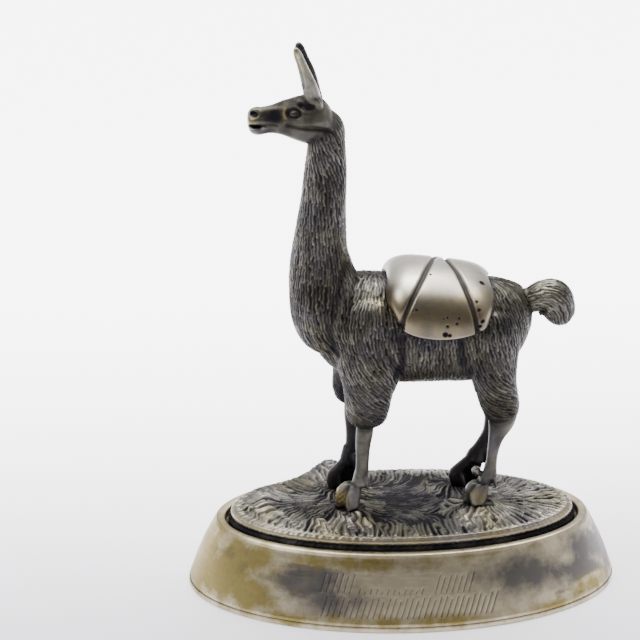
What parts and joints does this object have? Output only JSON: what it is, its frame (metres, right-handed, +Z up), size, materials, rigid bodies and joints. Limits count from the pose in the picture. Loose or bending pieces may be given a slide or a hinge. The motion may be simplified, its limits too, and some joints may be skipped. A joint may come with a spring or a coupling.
{
  "type": "llama figurine",
  "caption": "Cast metal llama carrying a rounded pack, standing on a plate of grass set in a tapered oval plinth.",
  "frame": {"origin": "centre of the plinth's oval underside, on the table it stands on", "axes": "+X from the llama's head towards its tail along the plinth's long axis, +Y towards its right side, which is the far side in the picture, +Z up"},
  "size_m": [0.0504, 0.0294, 0.0672],
  "materials": {
    "worn_silver": "satin",
    "satin_silver": "satin",
    "grass_silver": "satin",
    "oxidised_silver": "satin",
    "polished_silver": "polished"
  },
  "bodies": {
    "root": {"base_plate": "worn_silver", "plinth": "satin_silver", "ground": "grass_silver", "llama": "oxidised_silver", "pack": "polished_silver"}
  },
  "joints": []
}
